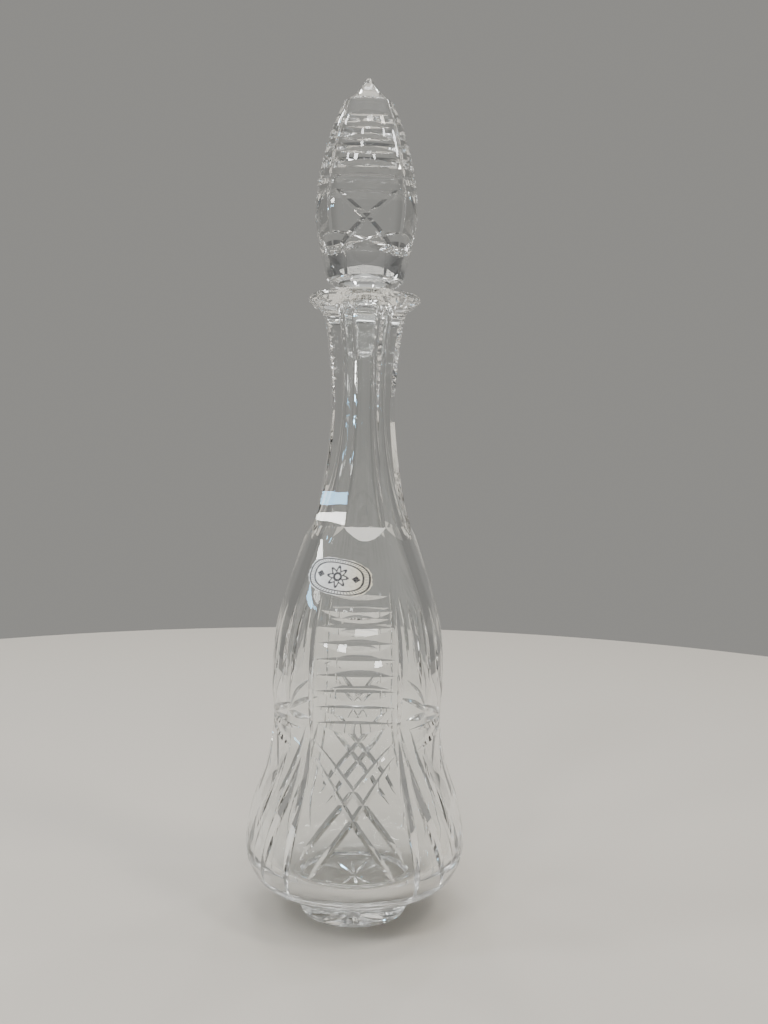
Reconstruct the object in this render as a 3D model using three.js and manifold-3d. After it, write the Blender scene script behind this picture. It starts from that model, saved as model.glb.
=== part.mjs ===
// A tall cut crystal decanter with its stopper and an oval foil label.
// Millimetres, +Z up. The origin is the centre of the foot's underside. The front panel faces -Y,
// and azimuths are in degrees from the front, positive towards +X.

import * as THREE from 'three';
import { mergeVertices } from 'three/addons/utils/BufferGeometryUtils.js';
import Module from 'manifold-3d';

const wasm = await Module();
wasm.setup();

// ---- driving dimensions ----

const FIT_GAP = 0.3; // clearance wherever two pieces face each other
const ROUND_SEGMENTS = 40; // facets around a turned surface
const BORE_SEGMENTS = 24;
const HEAD_SEGMENTS = 32;
const CUTTER_LIFT = 2.5; // how far a cutting wedge stands proud of the glass

const FOOT_RADIUS = 26;
const FOOT_HEIGHT = 8.5;
const BELLY_RADIUS = 51;
const WAIST_RADIUS = 38.5;
const SHOULDER_HEIGHT = 178; // where the neck flutes end
const SHOULDER_RADIUS = 23.7;
const NECK_RADIUS = 15.2; // across the flute ridges, at the narrowest
const RIM_RADIUS = 25.4;
const RIM_HEIGHT = 282;

const FLUTE_COUNT = 8;
const FLUTE_TURN = 27.5; // azimuth of one flute ridge
const NOTCHED_RIDGES = [72.5, 117.5, -107.5, -62.5]; // the ridges at the sides of the neck

const PANEL_CENTRES = [-1.5, 178.5]; // the front and back panels
const SIDE_CENTRES = [-91.5, 88.5];

const FLOOR_HEIGHT = 17;
const BORE_RADIUS = 6;
const SEAT_TOP = { radius: 7.8, height: 275 };
const SEAT_BOTTOM = { radius: 5.5, height: 256 };
const MOUTH_RADIUS = 11.5;

const TOTAL_HEIGHT = 380;
const HEAD_RADIUS = 23.5;
const HEAD_PANELS = 4;

// ---- outlines, as [radius, height] ----

/** The turned body from the foot to the shoulder, before any cutting. */
const bodyOutline = outline([
  [FOOT_RADIUS, FOOT_HEIGHT], [33, 12], [42.7, 16], [47.4, 20.5], [BELLY_RADIUS, 31], [48, 49],
  [41.7, 68],
  [WAIST_RADIUS, 87], [39.4, 108], [37.8, 132], [30.7, 157], [SHOULDER_RADIUS, SHOULDER_HEIGHT],
]);

/** The ridges of the neck flutes, from the shoulder to where the flutes run out under the lip. */
const ridgeOutline = outline([
  [SHOULDER_RADIUS, SHOULDER_HEIGHT], [20.8, 188], [18.4, 200], [16, 218], [NECK_RADIUS, 235],
  [16.6, 254], [18.3, 268], [20, 274], [22.6, 277], [RIM_RADIUS + 3, 280],
]);

/** The hollow inside, from the edge of the floor to the bore below the ground seat. */
const hollowOutline = outline([
  [26, FLOOR_HEIGHT], [37, 20.5], [43.4, 28], [44.4, 36], [42, 49], [35.8, 68], [32.6, 87], [33.3, 108],
  [31, 134], [23.8, 157], [15, 182], [9, 205], [BORE_RADIUS, 228],
]);

/** The stopper's head, from the ledge at its base to just below its pointed tip. */
const headOutline = outline([
  [18, 290.5], [20, 299], [22, 309], [HEAD_RADIUS, 319], [22.2, 334], [19.8, 345], [16.3, 357],
  [11.5, 368],
]);

function outline(pairs) {
  return new THREE.SplineCurve(pairs.map(([radius, height]) => new THREE.Vector2(radius, height)));
}

/** Gives a curve's radius at a height, by straight steps between many points of the curve. */
function radiusFinder(curve) {
  const points = curve.getPoints(240);
  return (height) => {
    const above = points.findIndex((point) => point.y >= height);
    if (above <= 0) return above === 0 ? points[0].x : points.at(-1).x;
    const [low, high] = [points[above - 1], points[above]];
    return THREE.MathUtils.mapLinear(height, low.y, high.y, low.x, high.x);
  };
}

const bodyRadiusAt = radiusFinder(bodyOutline);
const ridgeRadiusAt = radiusFinder(ridgeOutline);
const headRadiusAt = radiusFinder(headOutline);

// ---- solids ----

const radians = THREE.MathUtils.degToRad;

/** Makes a closed mesh into a solid, with its faces turned outwards. */
function solidOf(geometry) {
  geometry.deleteAttribute('normal');
  geometry.deleteAttribute('uv');
  const merged = mergeVertices(geometry, 1e-4);
  const corners = merged.attributes.position.array;
  const triangles = Uint32Array.from(merged.index.array);
  const mesh = () => new wasm.Mesh({ numProp: 3, vertProperties: corners, triVerts: triangles });
  const solid = new wasm.Manifold(mesh());
  if (solid.volume() > 0) return solid;
  triangles.reverse();
  return new wasm.Manifold(mesh());
}

/** Turns a profile, given as [radius, height] pairs or points, around the vertical axis. */
function turned(profile, segments, startAzimuth = 0) {
  const points = profile.map((item) => (Array.isArray(item) ? new THREE.Vector2(...item) : item));
  const geometry = new THREE.LatheGeometry(points, segments, radians(startAzimuth));
  geometry.rotateX(Math.PI / 2);
  return solidOf(geometry);
}

/** A point on a turned surface and the surface's outward normal there. */
function onTurned(radiusAt, azimuth, height) {
  const slope = radiusAt(height + 0.5) - radiusAt(height - 0.5);
  const angle = radians(azimuth);
  const out = new THREE.Vector3(Math.sin(angle), -Math.cos(angle), 0);
  const point = out.clone().multiplyScalar(radiusAt(height)).setZ(height);
  return { point, normal: out.setZ(-slope).normalize() };
}

/**
 * A wedge that cuts a mitre groove along a path. place(s) gives the point and normal at s from -1
 * to 1. The groove is depth deep in the middle and runs out at both ends. Its two flanks spread by
 * spread[0] on the side of tangent x normal and spread[1] on the other, for each unit of depth.
 */
function wedgeAlong(place, { depth, spread, steps, bluntness = 2 }) {
  const prism = new THREE.CylinderGeometry(1, 1, 2, 3, steps);
  const position = prism.attributes.position;
  const vertex = new THREE.Vector3();
  for (let i = 0; i < position.count; i += 1) {
    vertex.fromBufferAttribute(position, i);
    const corners = wedgeCorners(place, vertex.y, depth, spread, bluntness);
    const placed = new THREE.Vector3();
    corners.forEach((corner, k) => {
      const turn = (2 * Math.PI * k) / 3;
      const share = (1 + 2 * (vertex.x * Math.sin(turn) + vertex.z * Math.cos(turn))) / 3;
      placed.addScaledVector(corner, share);
    });
    position.setXYZ(i, placed.x, placed.y, placed.z);
  }
  return solidOf(prism);
}

function wedgeCorners(place, s, depth, spread, bluntness) {
  const nudge = 1e-3;
  const { point, normal } = place(s);
  const tangent = place(s + nudge).point.sub(place(s - nudge).point).normalize();
  const side = tangent.cross(normal).normalize();
  const runOut = 1 - Math.abs(s) ** bluntness;
  const sink = depth * runOut - FIT_GAP * (1 - runOut);
  const height = sink + CUTTER_LIFT;
  const wing = point.clone().addScaledVector(normal, CUTTER_LIFT);
  return [
    point.clone().addScaledVector(normal, -sink),
    wing.clone().addScaledVector(side, spread[0] * height),
    wing.clone().addScaledVector(side, -spread[1] * height),
  ];
}

/**
 * A groove between two [azimuth, height] places on a turned surface. settings.bow, in degrees,
 * pushes its middle sideways.
 */
function turnedCut(radiusAt, from, to, settings) {
  const place = (s) => {
    const t = (s + 1) / 2;
    const azimuth = THREE.MathUtils.lerp(from[0], to[0], t) + (settings.bow ?? 0) * (1 - s * s);
    const height = THREE.MathUtils.lerp(from[1], to[1], t);
    return onTurned(radiusAt, azimuth, height);
  };
  return wedgeAlong(place, settings);
}

function subtractAll(solid, cutters) {
  return cutters.reduce((rest, cutter) => rest.subtract(cutter), solid);
}

// ---- the body's blank ----

/** Foot, belly, waist and shoulder as a turned solid, with a rod as wide as the lip for the neck. */
function bodyBlank() {
  const profile = [
    [0, 0], [FOOT_RADIUS - 1.8, 0], [FOOT_RADIUS - 0.4, 2.5], ...bodyOutline.getPoints(18),
    [RIM_RADIUS - 1, SHOULDER_HEIGHT + 2], [RIM_RADIUS - 1, RIM_HEIGHT - 3.4],
    [RIM_RADIUS, RIM_HEIGHT - 1.9], [RIM_RADIUS - 1.2, RIM_HEIGHT], [0, RIM_HEIGHT],
  ];
  return turned(profile, ROUND_SEGMENTS);
}

/**
 * Everything that the eight flat flutes leave: open below the shoulder and an octagon above it,
 * with a short steeper facet at the foot of each flute.
 */
function fluteEnvelope() {
  const wide = BELLY_RADIUS + 10;
  const profile = [
    [0, -10], [wide, -10], [wide, 150], [28.6, 171], ...ridgeOutline.getPoints(10),
    [RIM_RADIUS + 3, RIM_HEIGHT + 1], [0, RIM_HEIGHT + 1],
  ];
  return turned(profile, FLUTE_COUNT, FLUTE_TURN);
}

/** The inside space, with the ground seat for the stopper's peg and the funnel of the mouth. */
function bodyHollow() {
  const profile = [
    [0, FLOOR_HEIGHT], ...hollowOutline.getPoints(12),
    [BORE_RADIUS, SEAT_BOTTOM.height - 4], [SEAT_BOTTOM.radius, SEAT_BOTTOM.height],
    [SEAT_TOP.radius, SEAT_TOP.height], [8.9, 279], [10, 281], [MOUTH_RADIUS, RIM_HEIGHT],
    [MOUTH_RADIUS + 1, RIM_HEIGHT + 1], [0, RIM_HEIGHT + 1],
  ];
  return turned(profile, BORE_SEGMENTS);
}

// ---- the body's cuts ----

/** Eight horizontal mitres, one above another, on the front and on the back. */
function ladderCuts(centre) {
  const rungs = 8;
  const lowest = 94.7;
  const pitch = 6.85;
  const reach = 28.5;
  const settings = { depth: 1.6, spread: [2.2, 1.25], steps: 4 };
  return Array.from({ length: rungs }, (_, rung) => {
    const height = lowest + rung * pitch;
    return turnedCut(bodyRadiusAt, [centre - reach, height], [centre + reach, height], settings);
  });
}

/** The double-line cross below each ladder. */
function crossCuts(centre) {
  const settings = { depth: 1.5, spread: [1, 1], steps: 5, bluntness: 6 };
  const lines = [
    { top: [28, 87.5], bottom: [-26.5, 37.5], bow: -6 },
    { top: [27.5, 81.5], bottom: [-22, 29.5], bow: -3.2 },
  ];
  return [-1, 1].flatMap((side) => lines.map(({ top, bottom, bow }) => turnedCut(
    bodyRadiusAt,
    [centre + side * top[0], top[1]],
    [centre + side * bottom[0], bottom[1]],
    { ...settings, bow: side * bow },
  )));
}

/** The long mitres that bound a front or back panel. */
function panelBorders(centre) {
  const upper = { depth: 1.4, spread: [1, 1], steps: 3, bluntness: 4 };
  const lower = { depth: 2, spread: [1.1, 1.1], steps: 5, bluntness: 3 };
  return [-1, 1].flatMap((side) => [
    turnedCut(bodyRadiusAt, [centre + side * 29, 146], [centre + side * 29, 84], upper),
    turnedCut(bodyRadiusAt, [centre + side * 29.5, 90], [centre + side * 34.2, 17.5], lower),
  ]);
}

/** The leaf-shaped cuts on one side: upright above the waist, and a fan of five below it. */
function sideFans(centre) {
  const upright = { depth: 1.5, spread: [1.2, 1.2], steps: 2 };
  const leaf = { depth: 2, spread: [1.3, 1.3], steps: 5 };
  const tops = [-51, -40, -27, -10, 10, 27, 40, 51];
  const leaves = [[-55, -36], [-42, -15], [0, 0], [42, 15], [55, 36]];
  return [
    ...tops.map((turn) => turnedCut(
      bodyRadiusAt, [centre + turn, 145], [centre + turn * 0.85, 108], upright,
    )),
    ...leaves.map(([top, bottom]) => turnedCut(
      bodyRadiusAt, [centre + top, 80], [centre + bottom, 19], leaf,
    )),
  ];
}

/** The starburst at waist height on one side. */
function sideStar(centre) {
  const settings = { depth: 1.3, spread: [1.1, 1.1], steps: 2 };
  const hub = [centre, 91];
  const tips = [[56, 91], [48, 102], [48, 81], [24, 116], [24, 67]];
  const rays = tips.flatMap(([turn, height]) => [[turn, height], [-turn, height]]);
  return [...rays, [0, 122]].map(([turn, height]) => turnedCut(
    bodyRadiusAt, hub, [centre + turn, height], settings,
  ));
}

/** The star cut into the flat underside of the foot. */
function footStar() {
  const rays = 16;
  const reach = 19;
  const settings = { depth: 1, spread: [0.8, 0.8], steps: 3 };
  return Array.from({ length: rays }, (_, ray) => {
    const angle = radians(4 + (360 * ray) / rays);
    const out = new THREE.Vector3(Math.sin(angle), -Math.cos(angle), 0);
    const place = (s) => ({
      point: out.clone().multiplyScalar((reach * (s + 1)) / 2 + 0.5),
      normal: new THREE.Vector3(0, 0, -1),
    });
    return wedgeAlong(place, settings);
  });
}

/** Small notches across the flute ridges at the sides of the upper neck. */
function ridgeNotches() {
  const notches = 8;
  const lowest = 244;
  const pitch = 4.6;
  const reach = 6;
  const settings = { depth: 1.3, spread: [0.9, 0.9], steps: 2 };
  return NOTCHED_RIDGES.flatMap((ridge) => Array.from({ length: notches }, (_, notch) => {
    const { point, normal } = onTurned(ridgeRadiusAt, ridge, lowest + notch * pitch);
    const across = new THREE.Vector3(0, 0, 1).cross(normal).normalize();
    const place = (s) => ({ point: point.clone().addScaledVector(across, reach * s), normal });
    return wedgeAlong(place, settings);
  }));
}

/** Upright nicks in the edge of the lip, one on each side of every notched ridge. */
function lipNicks() {
  const settings = { depth: 1.2, spread: [0.9, 0.9], steps: 1 };
  return NOTCHED_RIDGES.flatMap((ridge) => [-9, 9].map((turn) => turnedCut(
    () => RIM_RADIUS - 1.2, [ridge + turn, 275], [ridge + turn, RIM_HEIGHT + 3], settings,
  )));
}

function decanterBody() {
  const cuts = [
    ...PANEL_CENTRES.flatMap((centre) => [
      ...ladderCuts(centre), ...crossCuts(centre), ...panelBorders(centre),
    ]),
    ...SIDE_CENTRES.flatMap((centre) => [...sideFans(centre), ...sideStar(centre)]),
    ...footStar(),
    ...ridgeNotches(),
    ...lipNicks(),
  ];
  return subtractAll(bodyBlank().intersect(fluteEnvelope()), [bodyHollow(), ...cuts]);
}

// ---- the stopper ----

/** Head, ledge, collar and tapered peg, turned in one piece. */
function stopperBlank() {
  const peg = { top: SEAT_TOP.radius - FIT_GAP, bottom: SEAT_BOTTOM.radius - FIT_GAP };
  const profile = [
    [0, SEAT_BOTTOM.height], [peg.bottom - 1.5, SEAT_BOTTOM.height],
    [peg.bottom, SEAT_BOTTOM.height + 1.5],
    [peg.top, SEAT_TOP.height], [8.2, 280], [9, 283], [11.4, 285.6], [12.2, 286.8], [12.4, 287.8],
    [16.2, 288], [17.5, 289], ...headOutline.getPoints(9),
    [7.2, 371.5], [3.6, 375.2], [2, 378.4], [0, TOTAL_HEIGHT],
  ];
  return turned(profile, HEAD_SEGMENTS);
}

/** The ladder of horizontal cuts above the cross, on one panel of the head. */
function headLadder(centre) {
  const rungs = 6;
  const lowest = 330;
  const pitch = 5.9;
  const settings = { depth: 1.3, spread: [1.8, 1.1], steps: 3 };
  return Array.from({ length: rungs }, (_, rung) => {
    const height = lowest + rung * pitch;
    return turnedCut(headRadiusAt, [centre - 40, height], [centre + 40, height], settings);
  });
}

/** The cross on one panel of the head. */
function headCross(centre) {
  const settings = { depth: 1.4, spread: [1.1, 1.1], steps: 4, bluntness: 5 };
  return [-1, 1].map((lean) => turnedCut(
    headRadiusAt, [centre + lean * 42, 327], [centre - lean * 44, 296.5], settings,
  ));
}

/** The upright mitre between two panels of the head. */
function headMitre(azimuth) {
  const settings = { depth: 1.3, spread: [1, 1], steps: 4, bluntness: 4 };
  return turnedCut(headRadiusAt, [azimuth, 297], [azimuth, 369], settings);
}

function stopperSolid() {
  const pitch = 360 / HEAD_PANELS;
  const cuts = Array.from({ length: HEAD_PANELS }, (_, panel) => [
    ...headLadder(panel * pitch), ...headCross(panel * pitch), headMitre((panel + 0.5) * pitch),
  ]).flat();
  return subtractAll(stopperBlank(), cuts);
}

// ---- the label ----

/** A thin oval that wraps onto the shoulder, made from a flat turned disc of several rings. */
function labelSolid() {
  const label = { width: 31, height: 16.5, thickness: 0.35, azimuth: -18, centre: 156.9, tilt: -7 };
  const rings = [0, 0.4, 0.75, 1];
  const disc = [
    ...rings.map((ring) => new THREE.Vector2(ring, 0)),
    ...rings.toReversed().map((ring) => new THREE.Vector2(ring, 1)),
  ];
  const geometry = new THREE.LatheGeometry(disc, 28);
  const position = geometry.attributes.position;
  const middleRadius = bodyRadiusAt(label.centre);
  const slope = Math.hypot(1, bodyRadiusAt(label.centre + 0.5) - bodyRadiusAt(label.centre - 0.5));
  const tilt = new THREE.Vector2();
  for (let i = 0; i < position.count; i += 1) {
    tilt.set(position.getX(i) * label.width, position.getZ(i) * label.height).multiplyScalar(0.5);
    tilt.rotateAround(new THREE.Vector2(), radians(label.tilt));
    const azimuth = label.azimuth + THREE.MathUtils.radToDeg(tilt.x / middleRadius);
    const { point, normal } = onTurned(bodyRadiusAt, azimuth, label.centre + tilt.y / slope);
    point.addScaledVector(normal, FIT_GAP + position.getY(i) * label.thickness);
    position.setXYZ(i, point.x, point.y, point.z);
  }
  return solidOf(geometry);
}

// ---- the assembly ----

/** Makes a solid into a named mesh. */
function meshOf(name, solid, look) {
  const { vertProperties, triVerts } = solid.getMesh();
  const geometry = new THREE.BufferGeometry();
  geometry.setAttribute('position', new THREE.BufferAttribute(vertProperties, 3));
  geometry.setIndex(new THREE.BufferAttribute(triVerts, 1));
  geometry.computeVertexNormals();
  const mesh = new THREE.Mesh(geometry, new THREE.MeshStandardMaterial(look));
  mesh.name = name;
  return mesh;
}

const CRYSTAL_LOOK = { color: 0xe4e8e6, roughness: 0.04, metalness: 0, transparent: true, opacity: 0.35 };
const FOIL_LOOK = { color: 0xd9d8cc, roughness: 0.4, metalness: 0.6 };

const decanter = new THREE.Group();
decanter.add(
  meshOf('decanter_body', decanterBody(), CRYSTAL_LOOK),
  meshOf('stopper', stopperSolid(), CRYSTAL_LOOK),
  meshOf('label', labelSolid(), FOIL_LOOK),
);

export default decanter;
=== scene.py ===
"""A tall cut crystal decanter: new glass for the body and the stopper, and a foil label.

Lengths are in millimetres of the part until a mesh is made, and mesh_object() turns them into
metres. Lamps are placed in metres. Azimuths are in degrees from the front panel (-Y), positive
towards +X.
"""

import math

import bmesh
import bpy
from mathutils import Matrix, Vector


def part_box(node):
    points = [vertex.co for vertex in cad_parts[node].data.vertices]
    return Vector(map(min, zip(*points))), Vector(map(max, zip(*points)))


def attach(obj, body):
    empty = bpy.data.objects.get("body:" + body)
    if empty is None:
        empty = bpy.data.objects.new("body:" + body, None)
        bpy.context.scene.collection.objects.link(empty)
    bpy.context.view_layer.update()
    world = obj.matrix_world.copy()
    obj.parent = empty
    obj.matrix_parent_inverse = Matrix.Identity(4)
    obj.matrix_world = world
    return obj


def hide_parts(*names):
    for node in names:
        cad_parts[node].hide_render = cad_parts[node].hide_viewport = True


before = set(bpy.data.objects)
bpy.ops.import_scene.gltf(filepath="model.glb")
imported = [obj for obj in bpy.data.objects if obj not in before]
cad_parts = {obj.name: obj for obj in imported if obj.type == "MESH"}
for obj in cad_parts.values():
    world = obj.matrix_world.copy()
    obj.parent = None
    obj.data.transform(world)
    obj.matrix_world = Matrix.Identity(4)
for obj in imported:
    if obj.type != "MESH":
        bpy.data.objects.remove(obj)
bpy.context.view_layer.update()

# ---- driving dimensions, from the frame ----

BODY_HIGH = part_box("decanter_body")[1]
STOPPER_LOW, STOPPER_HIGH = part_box("stopper")

NOMINAL_HEIGHT = 380  # the outlines below are drawn for a decanter this tall
MM = STOPPER_HIGH.z / NOMINAL_HEIGHT
BELLY_CLEARANCE = 0.1  # the belly stays this far inside the CAD's box

RIM_HEIGHT = BODY_HIGH.z / MM
TIP_HEIGHT = STOPPER_HIGH.z / MM
PEG_BOTTOM = STOPPER_LOW.z / MM
BELLY_RADIUS = BODY_HIGH.x / MM - BELLY_CLEARANCE

FOOT_RADIUS = 26
FOOT_HEIGHT = 8.5
WAIST_RADIUS = 38.5
SHOULDER_HEIGHT = 178
SHOULDER_RADIUS = 23.7
NECK_RADIUS = 15.2
RIM_RADIUS = 25.4
FLOOR_HEIGHT = 17
BORE_RADIUS = 6
HEAD_RADIUS = 23.4

SEAT_TOP = (7.75, 275)  # radius and height of the ground seat's ends
SEAT_BOTTOM = (5.5, PEG_BOTTOM)
PEG_GAP = 0.12
LABEL_GAP = 0.06

FLUTE_COUNT = 8
FLUTE_TURN = 27.5
HEAD_PANELS = 4

PANEL_CENTRES = (-1.5, 178.5)
SIDE_CENTRES = (-91.5, 88.5)
NOTCHED_RIDGES = (72.5, 117.5, -107.5, -62.5)  # the ridges at the sides of the neck

# ---- the cuts, as counts, millimetres and degrees ----

LADDER_RUNGS = 8
LADDER_START = 94.7
LADDER_PITCH = 6.85
LADDER_TURN = 28.5  # how far a rung reaches to each side

STAR_HEIGHT = 91

FOOT_RAYS = 16
FOOT_RAY_START = 0.5
FOOT_RAY_LENGTH = 19
FOOT_STAR_TURN = 4

NOTCH_COUNT = 8
NOTCH_START = 244
NOTCH_PITCH = 4.6
NOTCH_REACH = 6
NICK_TURN = 9

HEAD_RUNGS = 6
HEAD_LADDER_START = 330
HEAD_LADDER_PITCH = 5.9
HEAD_RUNG_TURN = 40

# ---- the label ----

LABEL_HALF_WIDTH = 15.5
LABEL_HALF_HEIGHT = 8.25
LABEL_THICKNESS = 0.14
LABEL_AZIMUTH = -18
LABEL_HEIGHT = 156.9
LABEL_TILT = math.radians(-7)
LABEL_RINGS = 14
LABEL_SPOKES = 96
LABEL_POWER = 2.5  # how square the oval is: 2 would make an ellipse
LABEL_RATIO = 1.88  # its width next to its height, which keeps the rosette round
TEAR_DEPTH = 0.012

# ---- fineness ----

ROUND_SEGMENTS = 192
BORE_SEGMENTS = 120
HEAD_SEGMENTS = 160
OUTLINE_STEP = 1.6
FINDER_STEP = 0.8  # the step of the curve that radius_finder() looks up
CUT_STEP = 1.6  # length of one step along a groove
WELD_DISTANCE = 0.004  # corners closer than this are one corner
CUTTER_LIFT = 2.0  # how far a cutter stands out of the glass
END_LIFT = 0.3  # how far a groove's bottom is clear of the glass at both ends
SHARP_ANGLE = math.radians(9)

# ---- the studio ----

WALL_GREY = (0.29, 0.285, 0.27)
WORLD_BANDS = (  # sine of the elevation, and the room's colour there
    (0.46, WALL_GREY), (0.52, (0.12, 0.12, 0.12)), (0.64, (0.12, 0.12, 0.12)), (0.78, (0.7, 0.7, 0.68)),
    (1.0, (0.9, 0.9, 0.88)),
)
CORNER_SHADE = 0.75  # how bright the room's corners are, next to its walls
LAMP_TARGET = Vector((0, 0, 0.19))  # metres
SPARK_COUNT = 10
FLOOR_DROP = 0.4  # how far the floor lies below the foot
SENSOR_WIDTH = 36  # this and the focal length are in millimetres of the camera itself
FOCAL_LENGTH = 33.22265625

# ---- colours ----

CRYSTAL_TINT = (0.975, 0.985, 0.98, 1)
CRYSTAL_INDEX = 1.55
SILVER = (0.97, 0.98, 0.98, 1), (0.82, 0.84, 0.85, 1)
CREAM = (0.97, 0.93, 0.8, 1), (0.84, 0.78, 0.62, 1)
INK = (0.02, 0.02, 0.03, 1)
FLOOR_COLOUR = (0.58, 0.545, 0.49, 1)

# ---- outlines, as (radius, height) ----

BODY_OUTLINE = (
    (FOOT_RADIUS, FOOT_HEIGHT), (33, 12), (42.7, 16), (47.4, 20.5), (BELLY_RADIUS, 31), (48, 49),
    (41.7, 68), (WAIST_RADIUS, 87), (39.4, 108), (37.8, 132), (30.7, 157),
    (SHOULDER_RADIUS, SHOULDER_HEIGHT),
)
RIDGE_OUTLINE = (
    (SHOULDER_RADIUS, SHOULDER_HEIGHT), (20.8, 188), (18.4, 200), (16, 218), (NECK_RADIUS, 235),
    (16.6, 254), (18.3, 268), (20, 274), (22.6, 277), (RIM_RADIUS + 3, 280),
)
HOLLOW_OUTLINE = (
    (26, FLOOR_HEIGHT), (37, 20.5), (43.4, 28), (44.4, 36), (42, 49), (35.8, 68), (32.6, 87),
    (33.3, 108), (31, 134), (23.8, 157), (15, 182), (9, 205), (BORE_RADIUS, 228),
)
HEAD_OUTLINE = (
    (18, 290.5), (20, 299), (22, 309), (HEAD_RADIUS, 319), (22.2, 334), (19.8, 345), (16.3, 357),
    (11.5, 368),
)


def smooth(points, spacing=OUTLINE_STEP):
    """Points along a smooth curve through the given (radius, height) points."""
    path = [Vector(p) for p in points]
    path = [2 * path[0] - path[1], *path, 2 * path[-1] - path[-2]]
    curve = []
    for before, start, end, after in zip(path, path[1:], path[2:], path[3:]):
        steps = max(2, round((end - start).length / spacing))
        for i in range(steps):
            t = i / steps
            pull = (end - before) * 0.5, (after - start) * 0.5
            curve.append(
                (2 * t**3 - 3 * t**2 + 1) * start + (t**3 - 2 * t**2 + t) * pull[0]
                + (-2 * t**3 + 3 * t**2) * end + (t**3 - t**2) * pull[1]
            )
    return [tuple(p) for p in curve] + [tuple(points[-1])]


def radius_finder(points):
    """A function that gives the outline's radius at a height."""
    curve = smooth(points, FINDER_STEP)

    def radius_at(height):
        for (r0, z0), (r1, z1) in zip(curve, curve[1:]):
            if z0 <= height <= z1:
                return r0 + (r1 - r0) * (height - z0) / (z1 - z0)
        return curve[0][0] if height < curve[0][1] else curve[-1][0]

    return radius_at


body_radius = radius_finder(BODY_OUTLINE)
ridge_radius = radius_finder(RIDGE_OUTLINE)
head_radius = radius_finder(HEAD_OUTLINE)


# ---- solids ----


def outward(azimuth):
    angle = math.radians(azimuth)
    return Vector((math.sin(angle), -math.cos(angle), 0))


def mesh_object(name, vertices, faces):
    mesh = bpy.data.meshes.new(name)
    mesh.from_pydata([Vector(v) * MM for v in vertices], [], faces)
    piece = bpy.data.objects.new(name, mesh)
    bpy.context.scene.collection.objects.link(piece)
    return piece


def turned(name, outline, segments, start=0.0):
    """A closed solid turned from an outline of (radius, height) that starts and ends on the axis."""
    vertices = [Vector((0, 0, outline[0][1]))]
    for radius, height in outline[1:-1]:
        ring = (outward(start + 360 * i / segments) * radius for i in range(segments))
        vertices += [point + Vector((0, 0, height)) for point in ring]
    vertices.append(Vector((0, 0, outline[-1][1])))
    rings = len(outline) - 2
    top = len(vertices) - 1
    faces = []
    for i in range(segments):
        j = (i + 1) % segments
        faces.append((0, 1 + j, 1 + i))
        for ring in range(rings - 1):
            low, high = 1 + ring * segments, 1 + (ring + 1) * segments
            faces.append((low + i, low + j, high + j, high + i))
        last = 1 + (rings - 1) * segments
        faces.append((last + i, last + j, top))
    return mesh_object(name, vertices, faces)


def combine(piece, tool, operation="DIFFERENCE"):
    """Cuts the tool away from the piece, or joins or intersects them, and deletes the tool."""
    modifier = piece.modifiers.new("combine", "BOOLEAN")
    modifier.object = tool
    modifier.operation = operation
    modifier.solver = "MANIFOLD"
    modifier.material_mode = "INDEX"
    depsgraph = bpy.context.evaluated_depsgraph_get()
    result = bpy.data.meshes.new_from_object(piece.evaluated_get(depsgraph))
    piece.modifiers.clear()
    old, piece.data = piece.data, result
    result.name = piece.name
    bpy.data.meshes.remove(old)
    bpy.data.meshes.remove(tool.data)
    return piece


def on_turned(radius_at, azimuth, height):
    """A point on a turned surface and the outward normal there."""
    slope = radius_at(height + 0.5) - radius_at(height - 0.5)
    out = outward(azimuth)
    point = out * radius_at(height) + Vector((0, 0, height))
    return point, Vector((out.x, out.y, -slope)).normalized()


def wedge(place, length, depth, spread=(1, 1), bluntness=2.0):
    """A solid that cuts one mitre groove.

    place(s) gives a point on the glass and its normal, for s from -1 to 1. The groove is depth
    deep in the middle and runs out at both ends. Its flanks spread by spread[0] on the side of
    tangent x normal, and by spread[1] on the other, for each unit of depth.
    """
    steps = max(6, round(length / CUT_STEP))
    vertices = []
    for i in range(steps + 1):
        s = -1 + 2 * i / steps
        point, normal = place(s)
        tangent = place(s + 1e-3)[0] - place(s - 1e-3)[0]
        side = tangent.cross(normal).normalized()
        run_out = 1 - abs(s) ** bluntness
        sink = depth * run_out - END_LIFT * (1 - run_out)
        wing = point + normal * CUTTER_LIFT
        vertices += [
            point - normal * sink,
            wing + side * spread[0] * (sink + CUTTER_LIFT),
            wing - side * spread[1] * (sink + CUTTER_LIFT),
        ]
    faces = [(0, 1, 2), tuple(3 * steps + k for k in (2, 1, 0))]
    for i in range(steps):
        low, high = 3 * i, 3 * (i + 1)
        for k in range(3):
            n = (k + 1) % 3
            faces.append((low + k, high + k, high + n, low + n))
    return vertices, faces


def surface_groove(radius_at, start, end, depth, spread=(1, 1), bluntness=2.0, bow=0.0):
    """A groove from one (azimuth, height) to another, bowed sideways by bow degrees in its middle."""

    def place(s):
        t = (s + 1) / 2
        azimuth = start[0] + (end[0] - start[0]) * t + bow * (1 - s * s)
        return on_turned(radius_at, azimuth, start[1] + (end[1] - start[1]) * t)

    across = math.radians(end[0] - start[0]) * radius_at((start[1] + end[1]) / 2)
    length = math.hypot(across, end[1] - start[1])
    return wedge(place, length, depth, spread, bluntness)


def cut_all(piece, grooves):
    """Cuts a list of grooves: they are joined to one tool first, so the piece is cut once."""
    tools = [mesh_object("tool", *groove) for groove in grooves]
    while len(tools) > 1:
        pairs = zip(tools[::2], tools[1::2])
        odd = tools[-1:] if len(tools) % 2 else []
        tools = [combine(a, b, "UNION") for a, b in pairs] + odd
    return combine(piece, tools[0])


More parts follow.
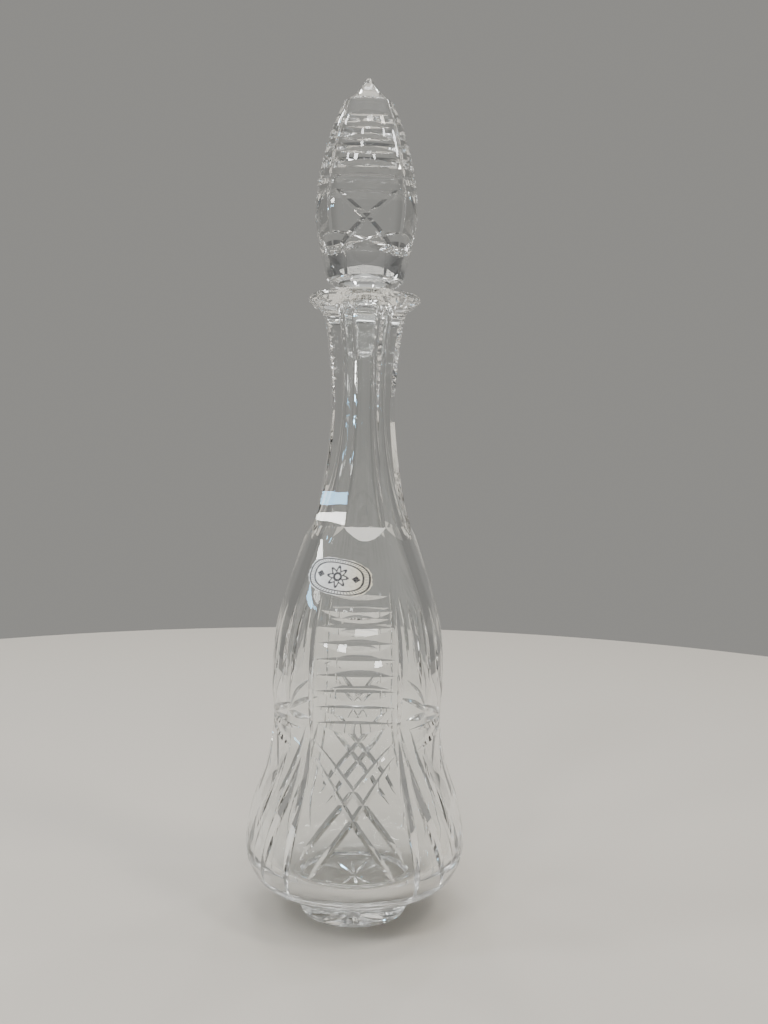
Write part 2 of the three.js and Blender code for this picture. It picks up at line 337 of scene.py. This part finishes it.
def weld(piece):
    """Joins the corners that the cuts leave almost on top of each other, and drops flat faces."""
    mesh = bmesh.new()
    mesh.from_mesh(piece.data)
    bmesh.ops.triangulate(mesh, faces=mesh.faces)
    bmesh.ops.remove_doubles(mesh, verts=mesh.verts, dist=WELD_DISTANCE * MM)
    bmesh.ops.dissolve_degenerate(mesh, edges=mesh.edges, dist=WELD_DISTANCE * MM)
    mesh.to_mesh(piece.data)
    mesh.free()


# ---- the body ----


def body_blank():
    outline = [
        (0, 0), (FOOT_RADIUS - 2, 0), (FOOT_RADIUS - 1.3, 0.3), (FOOT_RADIUS - 0.4, 2.5),
        (FOOT_RADIUS - 0.1, 5.5),
        *smooth(BODY_OUTLINE),
        (RIM_RADIUS - 1, SHOULDER_HEIGHT + 2), (RIM_RADIUS - 1, RIM_HEIGHT - 3.4),
        (RIM_RADIUS - 0.3, RIM_HEIGHT - 2.8), (RIM_RADIUS, RIM_HEIGHT - 1.9),
        (RIM_RADIUS - 0.1, RIM_HEIGHT - 1), (RIM_RADIUS - 0.5, RIM_HEIGHT - 0.4),
        (RIM_RADIUS - 1.2, RIM_HEIGHT), (0, RIM_HEIGHT),
    ]
    return turned("decanter_glass", outline, ROUND_SEGMENTS)


def flute_envelope():
    """What the eight flat flutes leave, each with a short steeper facet at its foot."""
    wide = BELLY_RADIUS + 10
    outline = [
        (0, -10), (wide, -10), (wide, 150), (28.6, 171), *smooth(RIDGE_OUTLINE),
        (RIM_RADIUS + 3, RIM_HEIGHT + 1), (0, RIM_HEIGHT + 1),
    ]
    return turned("flutes", outline, FLUTE_COUNT, FLUTE_TURN)


def body_hollow():
    outline = [
        (0, FLOOR_HEIGHT), (14, FLOOR_HEIGHT), (22, FLOOR_HEIGHT), *smooth(HOLLOW_OUTLINE),
        (BORE_RADIUS, SEAT_BOTTOM[1] - 4), SEAT_BOTTOM, SEAT_TOP, (8.9, 279), (10, 281),
        (11.5, RIM_HEIGHT), (12.5, RIM_HEIGHT + 1), (0, RIM_HEIGHT + 1),
    ]
    return turned("hollow", outline, BORE_SEGMENTS)


def ladder_cuts(centre):
    """Horizontal mitres, one above another."""
    for rung in range(LADDER_RUNGS):
        height = LADDER_START + LADDER_PITCH * rung
        ends = (centre - LADDER_TURN, height), (centre + LADDER_TURN, height)
        yield surface_groove(body_radius, *ends, depth=1.6, spread=(2.2, 1.25))


def cross_cuts(centre):
    """The double-line cross below the ladder."""
    lines = ((28, 87.5), (-26.5, 37.5), -6), ((27.5, 81.5), (-22, 29.5), -3.2)
    for side in (-1, 1):
        for (top, high), (bottom, low), bow in lines:
            ends = (centre + side * top, high), (centre + side * bottom, low)
            yield surface_groove(body_radius, *ends, depth=1.5, bluntness=6, bow=side * bow)


def panel_borders(centre):
    """The long mitres that bound a front or back panel."""
    for side in (-1, 1):
        upper = (centre + side * 29, 147), (centre + side * 29, 84)
        lower = (centre + side * 29.5, 90), (centre + side * 34.2, 17)
        yield surface_groove(body_radius, *upper, depth=1.4, bluntness=4)
        yield surface_groove(body_radius, *lower, depth=2, spread=(1.1, 1.1), bluntness=3)


def side_fans(centre):
    """Leaf-shaped cuts on one side: upright above the waist, and a fan of five below it."""
    for turn in (-51, -40, -27, -10, 10, 27, 40, 51):
        ends = (centre + turn, 146), (centre + turn * 0.85, 107)
        yield surface_groove(body_radius, *ends, depth=1.5, spread=(1.2, 1.2))
    for top, bottom in ((-55, -36), (-42, -15), (0, 0), (42, 15), (55, 36)):
        ends = (centre + top, 81), (centre + bottom, 18)
        yield surface_groove(body_radius, *ends, depth=2.3, spread=(1.25, 1.25))


def side_star(centre):
    """The starburst at waist height on one side."""
    tips = (56, STAR_HEIGHT), (48, 102), (48, 81), (24, 116), (24, 67), (0, 122)
    for turn, height in tips:
        for side in (-1, 1) if turn else (1,):
            ends = (centre, STAR_HEIGHT), (centre + side * turn, height)
            yield surface_groove(body_radius, *ends, depth=1.3, spread=(1.1, 1.1))


def foot_star():
    """The star cut into the underside of the foot."""
    for ray in range(FOOT_RAYS):
        out = outward(FOOT_STAR_TURN + 360 / FOOT_RAYS * ray)

        def place(s, out=out):
            return out * (FOOT_RAY_START + FOOT_RAY_LENGTH * (s + 1) / 2), Vector((0, 0, -1))

        yield wedge(place, FOOT_RAY_LENGTH, depth=0.9, spread=(0.8, 0.8), bluntness=3)


def ridge_notches():
    """Small notches across the flute ridges at the sides of the upper neck."""
    for ridge in NOTCHED_RIDGES:
        for notch in range(NOTCH_COUNT):
            height = NOTCH_START + NOTCH_PITCH * notch
            middle, normal = on_turned(ridge_radius, ridge, height)
            across = Vector((0, 0, 1)).cross(normal).normalized()

            def place(s, middle=middle, normal=normal, across=across):
                return middle + across * NOTCH_REACH * s, normal

            yield wedge(place, NOTCH_REACH, depth=1.3, spread=(0.9, 0.9))


def lip_nicks():
    """Upright nicks in the edge of the lip, one on each side of every notched ridge."""
    for ridge in NOTCHED_RIDGES:
        for turn in (-NICK_TURN, NICK_TURN):
            ends = (ridge + turn, 275), (ridge + turn, RIM_HEIGHT + 3)
            yield surface_groove(lambda height: RIM_RADIUS - 1.2, *ends, depth=1.2, spread=(0.9, 0.9))


def build_body():
    body = combine(body_blank(), flute_envelope(), "INTERSECT")
    combine(body, body_hollow())
    grooves = []
    for centre in PANEL_CENTRES:
        grooves += [*ladder_cuts(centre), *cross_cuts(centre), *panel_borders(centre)]
    for centre in SIDE_CENTRES:
        grooves += [*side_fans(centre), *side_star(centre)]
    grooves += foot_star()
    grooves += ridge_notches()
    grooves += lip_nicks()
    return cut_all(body, grooves)


# ---- the stopper ----


def stopper_blank():
    top, bottom = SEAT_TOP[0] - PEG_GAP, SEAT_BOTTOM[0] - PEG_GAP
    outline = [
        (0, PEG_BOTTOM), (bottom - 1.6, PEG_BOTTOM), (bottom - 0.5, PEG_BOTTOM + 0.5),
        (bottom, PEG_BOTTOM + 1.6), (top, SEAT_TOP[1]), (8.2, 280), (9, 283), (11.4, 285.6),
        (12.2, 286.8), (12.4, 287.8), (16.2, 288), (17.5, 289), *smooth(HEAD_OUTLINE),
        (7.2, 371.5), (5.2, 373.3), (3.6, 375.2), (2.5, 377), (2, 378.4), (1.3, 379.5), (0, TIP_HEIGHT),
    ]
    return turned("stopper_glass", outline, HEAD_SEGMENTS)


def head_cuts(centre):
    """One panel of the head: a ladder above a cross, and the mitre on its right."""
    for rung in range(HEAD_RUNGS):
        height = HEAD_LADDER_START + HEAD_LADDER_PITCH * rung
        ends = (centre - HEAD_RUNG_TURN, height), (centre + HEAD_RUNG_TURN, height)
        yield surface_groove(head_radius, *ends, depth=1.3, spread=(1.8, 1.1))
    for lean in (-1, 1):
        ends = (centre + lean * 42, 327), (centre - lean * 44, 296.5)
        yield surface_groove(head_radius, *ends, depth=1.4, spread=(1.1, 1.1), bluntness=5)
    ends = (centre + 45, 297), (centre + 45, 369)
    yield surface_groove(head_radius, *ends, depth=1.3, bluntness=4)


def build_stopper():
    grooves = []
    for panel in range(HEAD_PANELS):
        grooves += head_cuts(panel * 360 / HEAD_PANELS)
    return cut_all(stopper_blank(), grooves)


# ---- the label ----


def label_points():
    """Flat points of the oval, ring by ring out to a slightly torn edge, from -1 to 1."""
    points = [(0.0, 0.0)]
    for ring in range(1, LABEL_RINGS + 1):
        for spoke in range(LABEL_SPOKES):
            angle = 2 * math.pi * spoke / LABEL_SPOKES
            c, s = math.cos(angle), math.sin(angle)
            tear = 1 - TEAR_DEPTH * (1 + math.sin(9 * angle)) - TEAR_DEPTH * (1 + math.sin(23 * angle + 2))
            oval = (abs(c) ** LABEL_POWER + abs(s) ** LABEL_POWER) ** (-1 / LABEL_POWER)
            reach = tear * oval * ring / LABEL_RINGS
            points.append((c * reach, s * reach))
    return points


def on_shoulder(u, v, lift):
    """The place of a flat label point, lifted off the glass."""
    slope = math.hypot(1, body_radius(LABEL_HEIGHT + 0.5) - body_radius(LABEL_HEIGHT - 0.5))
    x = u * LABEL_HALF_WIDTH * math.cos(LABEL_TILT) - v * LABEL_HALF_HEIGHT * math.sin(LABEL_TILT)
    y = u * LABEL_HALF_WIDTH * math.sin(LABEL_TILT) + v * LABEL_HALF_HEIGHT * math.cos(LABEL_TILT)
    turn = LABEL_AZIMUTH + math.degrees(x / body_radius(LABEL_HEIGHT))
    point, normal = on_turned(body_radius, turn, LABEL_HEIGHT + y / slope)
    return point + normal * lift


def label_faces(front):
    """Faces of the back sheet, of the front sheet whose points start at front, and of the edge."""
    faces = []
    for i in range(LABEL_SPOKES):
        j = (i + 1) % LABEL_SPOKES
        faces += [(front, front + 1 + i, front + 1 + j), (0, 1 + j, 1 + i)]
        for ring in range(LABEL_RINGS - 1):
            a, b = 1 + ring * LABEL_SPOKES, 1 + (ring + 1) * LABEL_SPOKES
            faces += [(front + a + i, front + b + i, front + b + j, front + a + j)]
            faces += [(a + i, a + j, b + j, b + i)]
        edge = 1 + (LABEL_RINGS - 1) * LABEL_SPOKES
        faces.append((edge + i, edge + j, front + edge + j, front + edge + i))
    return faces


def build_label():
    """A thin oval wrapped onto the shoulder, with its own flat coordinates in a UV map."""
    flat = label_points()
    lifts = LABEL_GAP, LABEL_GAP + LABEL_THICKNESS
    vertices = [on_shoulder(u, v, lift) for lift in lifts for u, v in flat]
    label = mesh_object("foil_label", vertices, label_faces(len(flat)))
    layer = label.data.uv_layers.new(name="label_face")
    for loop in label.data.loops:
        layer.data[loop.index].uv = flat[loop.vertex_index % len(flat)]
    return label


# ---- materials ----


def add_node(tree, kind, inputs=(), output=0, **settings):
    """Adds a shader node, sets or links its inputs, and returns one of its outputs."""
    node = tree.nodes.new("ShaderNode" + kind)
    for name, value in settings.items():
        setattr(node, name, value)
    for name, value in dict(inputs).items():
        if isinstance(value, bpy.types.NodeSocket):
            tree.links.new(value, node.inputs[name])
        else:
            node.inputs[name].default_value = value
    return node.outputs[output]


def calc(tree, operation, *values):
    return add_node(tree, "Math", enumerate(values), operation=operation)


def remap(tree, value, low, high, to_low=0.0, to_high=1.0):
    """The value with low..high smoothly stretched to to_low..to_high, and clamped there."""
    ends = {"From Min": low, "From Max": high, "To Min": to_low, "To Max": to_high}
    return add_node(tree, "MapRange", {"Value": value, **ends}, interpolation_type="SMOOTHSTEP")


def noise(tree, place, scale, detail=3.0):
    return add_node(tree, "TexNoise", {"Vector": place, "Scale": scale, "Detail": detail})


def blend(tree, share, first, second):
    """The first colour where the share is 0 and the second where it is 1."""
    return add_node(tree, "Mix", {0: share, 6: first, 7: second}, output=2, data_type="RGBA")


def new_material(name):
    material = bpy.data.materials.new(name)
    material.use_nodes = True
    return material, material.node_tree, material.node_tree.nodes["Principled BSDF"]


def glass_material(name, seed):
    """Polished lead crystal: faint smears of handling, and the slow ripple of hand polishing."""
    material, tree, shader = new_material(name)
    shader.inputs["Base Color"].default_value = CRYSTAL_TINT
    shader.inputs["Transmission Weight"].default_value = 1
    shader.inputs["IOR"].default_value = CRYSTAL_INDEX
    object_place = add_node(tree, "TexCoord", output=3)
    place = add_node(tree, "Mapping", {"Vector": object_place, "Location": (seed, 0, 0)})
    smears = remap(tree, noise(tree, place, 40, 5), 0.5, 0.75, 0.0, 0.05)
    tree.links.new(smears, shader.inputs["Roughness"])
    ripple = noise(tree, place, 70, 1)
    bump = add_node(tree, "Bump", {"Strength": 0.1, "Distance": 0.0007, "Height": ripple})
    tree.links.new(bump, shader.inputs["Normal"])
    return material


def ring_line(tree, distance, ring, width):
    """1 on a line where the distance equals ring, 0 away from it."""
    off = calc(tree, "ABSOLUTE", calc(tree, "SUBTRACT", distance, ring))
    return remap(tree, off, width, width * 2, 1, 0)


def label_print(tree, across, up, reach):
    """How dark the print is: a hatched border between two lines, a rosette and two lozenges."""
    hatch = calc(tree, "SINE", calc(tree, "MULTIPLY", calc(tree, "ARCTAN2", up, across), 64))
    band = ring_line(tree, reach, 0.82, 0.035)
    wide = calc(tree, "MULTIPLY", across, LABEL_RATIO)
    up_squared = calc(tree, "MULTIPLY", up, up)
    round_reach = calc(tree, "SQRT", calc(tree, "MULTIPLY_ADD", wide, wide, up_squared))
    petals = calc(tree, "COSINE", calc(tree, "MULTIPLY", calc(tree, "ARCTAN2", up, wide), 8))
    petal_edge = calc(tree, "MULTIPLY_ADD", petals, 0.12, 0.42)
    sideways = calc(tree, "ABSOLUTE", calc(tree, "SUBTRACT", calc(tree, "ABSOLUTE", across), 0.53))
    lozenge = calc(tree, "MULTIPLY_ADD", sideways, 1.5, calc(tree, "ABSOLUTE", up))
    marks = (
        ring_line(tree, reach, 0.91, 0.02),
        ring_line(tree, reach, 0.73, 0.02),
        calc(tree, "MULTIPLY", band, remap(tree, hatch, 0.1, 0.8, 0, 0.8)),
        ring_line(tree, round_reach, petal_edge, 0.05),
        ring_line(tree, round_reach, 0.19, 0.04),
        remap(tree, lozenge, 0.17, 0.21, 1, 0),
    )
    ink = marks[0]
    for mark in marks[1:]:
        ink = calc(tree, "MAXIMUM", ink, mark)
    return ink


def foil_material():
    """Worn silver foil that turns cream to the right, with a dark printed ornament."""
    material, tree, shader = new_material("foil_label")
    face = add_node(tree, "UVMap", uv_map="label_face")
    parts = tree.nodes.new("ShaderNodeSeparateXYZ")
    tree.links.new(face, parts.inputs["Vector"])
    across, up = parts.outputs["X"], parts.outputs["Y"]
    powers = [calc(tree, "POWER", calc(tree, "ABSOLUTE", side), LABEL_POWER) for side in (across, up)]
    reach = calc(tree, "POWER", calc(tree, "ADD", *powers), 1 / LABEL_POWER)
    grain = noise(tree, face, 9, 6)
    specks = noise(tree, face, 26, 3)
    silver = blend(tree, remap(tree, grain, 0.35, 0.7), *SILVER)
    cream = blend(tree, remap(tree, grain, 0.35, 0.7), *CREAM)
    foil = blend(tree, remap(tree, across, -0.1, 0.7), silver, cream)
    wear = remap(tree, specks, 0.34, 0.5, 0.6, 1)
    ink = calc(tree, "MULTIPLY", label_print(tree, across, up, reach), wear)
    colour = blend(tree, ink, foil, INK)
    tree.links.new(colour, shader.inputs["Base Color"])
    shader.inputs["Metallic"].default_value = 0.1
    tree.links.new(remap(tree, grain, 0.3, 0.7, 0.28, 0.5), shader.inputs["Roughness"])
    height = calc(tree, "MULTIPLY_ADD", ink, -0.6, grain)
    bump = add_node(tree, "Bump", {"Strength": 0.5, "Distance": 0.0002, "Height": height})
    tree.links.new(bump, shader.inputs["Normal"])
    return material


# ---- putting the pieces in the frame ----


def dress(piece, material, body, node):
    weld(piece)
    piece.data.materials.clear()
    piece.data.materials.append(material)
    piece.data.shade_smooth()
    piece.data.set_sharp_from_angle(angle=SHARP_ANGLE)
    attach(piece, body)
    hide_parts(node)


def make_pieces():
    body_glass = glass_material("crystal_body", 0)
    stopper_glass = glass_material("crystal_stopper", 0.4)
    dress(build_body(), body_glass, "decanter", "decanter_body")
    dress(build_stopper(), stopper_glass, "stopper", "stopper")
    dress(build_label(), foil_material(), "decanter", "label")


# ---- stage, light and camera ----


def make_floor():
    """A plain pale round table top, well clear of every view's camera."""
    reach, spokes = 780, 256
    drop = Vector((0, 0, -FLOOR_DROP))
    rim = [outward(360 * i / spokes) * reach + drop for i in range(spokes)]
    floor = mesh_object("floor", rim, [tuple(range(spokes))])
    material, _, shader = new_material("floor")
    shader.inputs["Base Color"].default_value = FLOOR_COLOUR
    shader.inputs["Roughness"].default_value = 0.6
    floor.data.materials.append(material)


def make_world():
    """A grey room: a dark band above the wall's mid grey, a bright ceiling and four darker corners."""
    world = bpy.data.worlds.new("studio")
    bpy.context.scene.world = world
    world.use_nodes = True
    tree = world.node_tree
    parts = tree.nodes.new("ShaderNodeSeparateXYZ")
    tree.links.new(add_node(tree, "TexCoord"), parts.inputs["Vector"])
    azimuth = calc(tree, "ARCTAN2", parts.outputs["Y"], parts.outputs["X"])
    lobes = calc(tree, "COSINE", calc(tree, "MULTIPLY", azimuth, 4))
    bands = tree.nodes.new("ShaderNodeValToRGB")
    tree.links.new(parts.outputs["Z"], bands.inputs["Fac"])
    ramp = bands.color_ramp
    ramp.elements.remove(ramp.elements[1])
    ramp.elements[0].color = (*WALL_GREY, 1)
    for height, colour in WORLD_BANDS:
        ramp.elements.new(height).color = (*colour, 1)
    background = tree.nodes["Background"]
    tree.links.new(bands.outputs["Color"], background.inputs["Color"])
    tree.links.new(remap(tree, lobes, -0.75, 0.0, CORNER_SHADE, 1), background.inputs["Strength"])


def area_light(name, azimuth, elevation, distance, size, power, colour=(1, 1, 1)):
    """A rectangular lamp that faces the decanter's middle, with distance and size in metres."""
    light = bpy.data.lights.new(name, "AREA")
    light.shape = "RECTANGLE"
    light.size, light.size_y = size
    light.energy = power
    light.color = colour
    lamp = bpy.data.objects.new(name, light)
    bpy.context.scene.collection.objects.link(lamp)
    lift = math.radians(elevation)
    away = outward(azimuth) * math.cos(lift) + Vector((0, 0, math.sin(lift)))
    lamp.location = LAMP_TARGET + away * distance
    lamp.rotation_euler = away.to_track_quat("Z", "Y").to_euler()


def make_lights():
    area_light("window", -83, 21, 1.6, (0.42, 0.1), 5, (1, 0.99, 0.95))
    area_light("window_low", -83, 15.8, 1.6, (0.4, 0.06), 2, (0.35, 0.7, 1))
    area_light("front_window", 8, 63, 1.7, (0.4, 0.25), 4.5, (1, 0.97, 0.9))
    area_light("fill", -32, 45, 1.6, (0.2, 0.2), 5)
    area_light("lamp", 60, 58, 1.6, (0.22, 0.3), 5, (1, 0.93, 0.82))
    area_light("overhead", 170, 78, 1.5, (1.0, 0.3), 6)
    for i in range(SPARK_COUNT):
        azimuth = 18 + 360 / SPARK_COUNT * i
        elevation = 52 if i % 2 else 44
        area_light(f"spark_{i}", azimuth, elevation, 1.7, (0.14, 0.18), 2.4)


def make_camera():
    """The eye stands a little above the middle, close by, and looks slightly down."""
    distance, eye_height = 435.6, 203
    pitch, yaw, roll = math.radians(-2.5), math.radians(1.4), math.radians(1.14)
    level = math.cos(pitch)
    forward = Vector((math.sin(yaw) * level, math.cos(yaw) * level, math.sin(pitch)))
    right = forward.cross(Vector((0, 0, 1))).normalized()
    up = right.cross(forward)
    c, s = math.cos(roll), math.sin(roll)
    right, up = right * c + up * s, up * c - right * s
    lens = bpy.data.cameras.new("camera")
    lens.sensor_width = SENSOR_WIDTH
    lens.lens = FOCAL_LENGTH
    camera = bpy.data.objects.new("camera", lens)
    bpy.context.scene.collection.objects.link(camera)
    camera.matrix_world = Matrix.Translation(Vector((0, -distance, eye_height)) * MM) @ Matrix(
        (right, up, -forward)
    ).transposed().to_4x4()
    bpy.context.scene.camera = camera


def set_light_paths():
    """Enough bounces for light to get through both walls of the glass and the stopper."""
    cycles = bpy.context.scene.cycles
    cycles.max_bounces = 28
    cycles.transmission_bounces = 28
    cycles.glossy_bounces = 16


make_pieces()
make_floor()
make_world()
make_lights()
make_camera()
set_light_paths()
